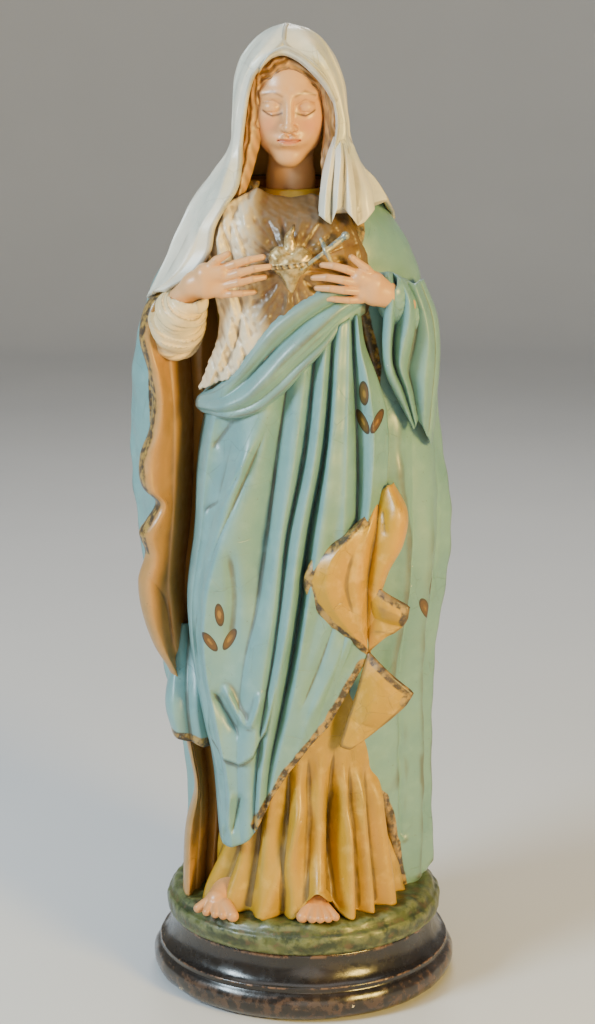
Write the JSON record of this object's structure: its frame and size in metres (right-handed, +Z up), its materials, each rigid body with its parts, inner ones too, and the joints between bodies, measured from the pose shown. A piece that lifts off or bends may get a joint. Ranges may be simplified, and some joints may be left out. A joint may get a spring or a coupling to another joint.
{
  "type": "devotional statue",
  "caption": "Painted plaster statue of a veiled standing woman, hands laid either side of a heart on the breast, on a moulded oval socle.",
  "frame": {"origin": "centre of the socle's underside, on the surface that the statue stands on", "axes": "+Z up; the figure faces -Y; +X is the figure's left side, to the viewer's right"},
  "size_m": [0.2039, 0.184, 0.6],
  "materials": {
    "socle_black": "gloss black enamel on plaster, chipped to pale plaster and worn brown",
    "earth_green": "mottled green and olive paint on plaster",
    "gown_cream": "cream paint on plaster, satin",
    "mantle_blue": "sky-blue paint on plaster, satin, crazed and flaked",
    "lining_cream": "warm cream paint on plaster with a dark gold edge",
    "veil_white": "cream-white paint on plaster, satin",
    "skin": "flesh-coloured paint on plaster",
    "hair_brown": "golden brown paint on plaster",
    "heart_gilt": "pale gilt and silvered paint",
    "sword_grey": "blue-grey and gold paint",
    "iron": "plain iron wire, lightly rusted",
    "lath_wood": "rough sawn softwood",
    "scrim_plaster": "bare plaster over sacking"
  },
  "bodies": {
    "root": {"socle": "socle_black", "ground_plinth": "earth_green", "gown": "gown_cream", "right_sleeve": "gown_cream", "mantle_front": "mantle_blue", "mantle_back": "mantle_blue", "waist_swag": "mantle_blue", "left_sleeve": "mantle_blue", "lining_flap_upper": "lining_cream", "lining_flap_lower": "lining_cream", "veil": "veil_white", "head": "skin", "right_hand": "skin", "left_hand": "skin", "right_foot": "skin", "left_foot": "skin", "hair": "hair_brown", "heart": "heart_gilt", "heart_sword": "sword_grey", "neck_rod": "iron", "right_hand_wire": "iron", "left_hand_wire": "iron", "spine_lath": "lath_wood", "scrim_wad_low": "scrim_plaster", "scrim_wad_high": "scrim_plaster"}
  },
  "joints": []
}
